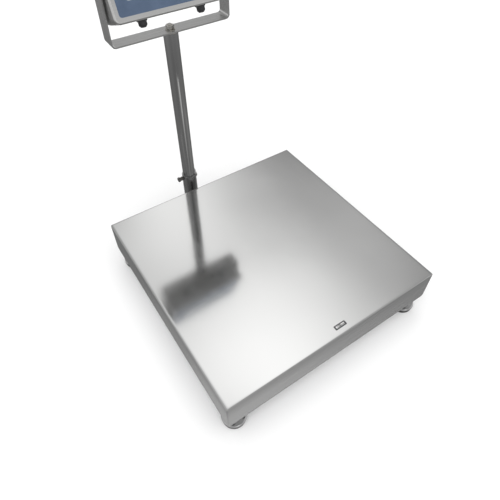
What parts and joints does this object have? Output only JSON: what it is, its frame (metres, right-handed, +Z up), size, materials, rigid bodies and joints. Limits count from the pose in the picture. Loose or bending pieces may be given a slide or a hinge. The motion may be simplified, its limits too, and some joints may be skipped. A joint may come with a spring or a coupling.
{
  "type": "bench scale",
  "caption": "Square stainless platform scale on levelling feet, with a load cell under a lift-off platter and a rear column carrying a swivelling, tilting display.",
  "frame": {"origin": "on the floor, at the middle of the whole scale's footprint, column and indicator included", "axes": "+Z up, +X right along the front skirt, +Y to the rear, where the column stands"},
  "size_m": [0.6, 0.7134, 0.8471],
  "materials": {
    "platter_steel": "fine brushed stainless, soft mirror",
    "badge": "printed plate, no lettering",
    "frame_steel": "silver-grey powder coat",
    "fastener_steel": "bright zinc plated",
    "cell_aluminium": "anodised",
    "foot_steel": "turned stainless over a rubber sole",
    "column_steel": "polished stainless",
    "housing_steel": "brushed stainless",
    "black_plastic": "moulded",
    "black_rubber": "soft",
    "level_body": "moulded cup with a vial",
    "lens": "clear",
    "display": "liquid crystal module",
    "board": "circuit board",
    "key_rubber": "moulded keys"
  },
  "bodies": {
    "base": {"base_rail_left": "frame_steel", "base_rail_right": "frame_steel", "base_beam_front": "frame_steel", "base_beam_rear": "frame_steel", "cell_beam_front": "frame_steel", "cell_beam_rear": "frame_steel", "cell_plate": "frame_steel", "rail_end_plugs": "black_plastic", "foot_bushes": "frame_steel", "foot_jam_nuts": "fastener_steel", "stop_screws": "fastener_steel", "m8_nuts": "fastener_steel", "bubble_level": "level_body", "base_gland": "black_plastic", "lower_cell_spacer": "cell_aluminium", "load_cell": "cell_aluminium", "lower_cell_screws": "fastener_steel", "column_bracket": "column_steel", "bracket_bolts": "fastener_steel", "column": "column_steel", "column_bolts": "fastener_steel", "column_top_plug": "column_steel", "swivel_nut": "fastener_steel"},
    "top_frame": {"top_beam_front": "frame_steel", "top_beam_rear": "frame_steel", "top_rail_left": "frame_steel", "top_rail_right": "frame_steel", "top_plate": "frame_steel", "upper_cell_spacer": "cell_aluminium", "upper_cell_screws": "fastener_steel", "platter_bumpers": "black_rubber"},
    "platter": {"platter": "platter_steel", "badge": "badge"},
    "foot_front_left": {"foot_pad_front_left": "foot_steel"},
    "stud_front_left": {"foot_stud_front_left": "fastener_steel"},
    "foot_front_right": {"foot_pad_front_right": "foot_steel"},
    "stud_front_right": {"foot_stud_front_right": "fastener_steel"},
    "foot_rear_left": {"foot_pad_rear_left": "foot_steel"},
    "stud_rear_left": {"foot_stud_rear_left": "fastener_steel"},
    "foot_rear_right": {"foot_pad_rear_right": "foot_steel"},
    "stud_rear_right": {"foot_stud_rear_right": "fastener_steel"},
    "thumb_nut": {"thumb_nut": "fastener_steel"},
    "yoke": {"yoke": "housing_steel"},
    "indicator": {"friction_washers": "black_plastic", "rear_housing": "housing_steel", "front_housing": "housing_steel", "housing_gasket": "black_rubber", "display_lens": "lens", "display_module": "display", "circuit_board": "board", "battery": "black_plastic", "housing_screws": "fastener_steel", "housing_glands": "black_plastic"},
    "tilt_knob_left": {"tilt_knob_left": "black_plastic"},
    "tilt_knob_right": {"tilt_knob_right": "black_plastic"},
    "key_power": {"key_power": "key_rubber"},
    "key_zero": {"key_zero": "key_rubber"},
    "key_tare": {"key_tare": "key_rubber"},
    "key_print": {"key_print": "key_rubber"}
  },
  "joints": [
    {"name": "platform_load", "type": "slide", "parent": "base", "child": "top_frame", "axis": [0, 0, 1], "range_m": [-0.0008, 0], "stiffness_N_per_m": 1000000, "springref_m": 0.0003, "deforming": ["load_cell"]},
    {"name": "platter_lift", "type": "slide", "parent": "top_frame", "child": "platter", "axis": [0, 0, 1], "range_m": [0, 0.15]},
    {"name": "foot_level_front_left", "type": "slide", "parent": "base", "child": "foot_front_left", "axis": [0, 0, 1], "range_m": [-0.012, 0.007]},
    {"name": "foot_turn_front_left", "type": "hinge", "parent": "foot_front_left", "child": "stud_front_left", "pos_m": [-0.268, -0.32669, 0.03], "axis": [0, 0, 1], "range_deg": [-2520, 1620]},
    {"name": "foot_level_front_right", "type": "slide", "parent": "base", "child": "foot_front_right", "axis": [0, 0, 1], "range_m": [-0.012, 0.007]},
    {"name": "foot_turn_front_right", "type": "hinge", "parent": "foot_front_right", "child": "stud_front_right", "pos_m": [0.268, -0.32669, 0.03], "axis": [0, 0, 1], "range_deg": [-2520, 1620]},
    {"name": "foot_level_rear_left", "type": "slide", "parent": "base", "child": "foot_rear_left", "axis": [0, 0, 1], "range_m": [-0.012, 0.007]},
    {"name": "foot_turn_rear_left", "type": "hinge", "parent": "foot_rear_left", "child": "stud_rear_left", "pos_m": [-0.268, 0.21331, 0.03], "axis": [0, 0, 1], "range_deg": [-2520, 1620]},
    {"name": "foot_level_rear_right", "type": "slide", "parent": "base", "child": "foot_rear_right", "axis": [0, 0, 1], "range_m": [-0.012, 0.007]},
    {"name": "foot_turn_rear_right", "type": "hinge", "parent": "foot_rear_right", "child": "stud_rear_right", "pos_m": [0.268, 0.21331, 0.03], "axis": [0, 0, 1], "range_deg": [-2520, 1620]},
    {"name": "thumb_nut_turn", "type": "hinge", "parent": "base", "child": "thumb_nut", "pos_m": [-0.0535, 0.28331, 0.166], "axis": [-1, 0, 0], "continuous": true},
    {"name": "indicator_swivel", "type": "hinge", "parent": "base", "child": "yoke", "pos_m": [-0.033, 0.28331, 0.597], "axis": [0, 0, 1], "range_deg": [-150, 150]},
    {"name": "indicator_tilt", "type": "hinge", "parent": "yoke", "child": "indicator", "pos_m": [-0.033, 0.28331, 0.744], "axis": [1, 0, 0], "range_deg": [-45, 35]},
    {"name": "tilt_knob_left_turn", "type": "hinge", "parent": "indicator", "child": "tilt_knob_left", "pos_m": [-0.033, 0.28331, 0.744], "axis": [-1, 0, 0], "continuous": true},
    {"name": "tilt_knob_right_turn", "type": "hinge", "parent": "indicator", "child": "tilt_knob_right", "pos_m": [-0.033, 0.28331, 0.744], "axis": [1, 0, 0], "continuous": true},
    {"name": "key_power_press", "type": "slide", "parent": "indicator", "child": "key_power", "axis": [0, -0.9397, 0.342], "range_m": [-0.001, 0], "stiffness_N_per_m": 900, "springref_m": 0.001},
    {"name": "key_zero_press", "type": "slide", "parent": "indicator", "child": "key_zero", "axis": [0, -0.9397, 0.342], "range_m": [-0.001, 0], "stiffness_N_per_m": 900, "springref_m": 0.001},
    {"name": "key_tare_press", "type": "slide", "parent": "indicator", "child": "key_tare", "axis": [0, -0.9397, 0.342], "range_m": [-0.001, 0], "stiffness_N_per_m": 900, "springref_m": 0.001},
    {"name": "key_print_press", "type": "slide", "parent": "indicator", "child": "key_print", "axis": [0, -0.9397, 0.342], "range_m": [-0.001, 0], "stiffness_N_per_m": 900, "springref_m": 0.001}
  ],
  "couplings": [
    {"joint": "foot_turn_front_left", "follows": "foot_level_front_left", "rad_per_m": 3590.4},
    {"joint": "foot_turn_front_right", "follows": "foot_level_front_right", "rad_per_m": 3590.4},
    {"joint": "foot_turn_rear_left", "follows": "foot_level_rear_left", "rad_per_m": 3590.4},
    {"joint": "foot_turn_rear_right", "follows": "foot_level_rear_right", "rad_per_m": 3590.4}
  ]
}
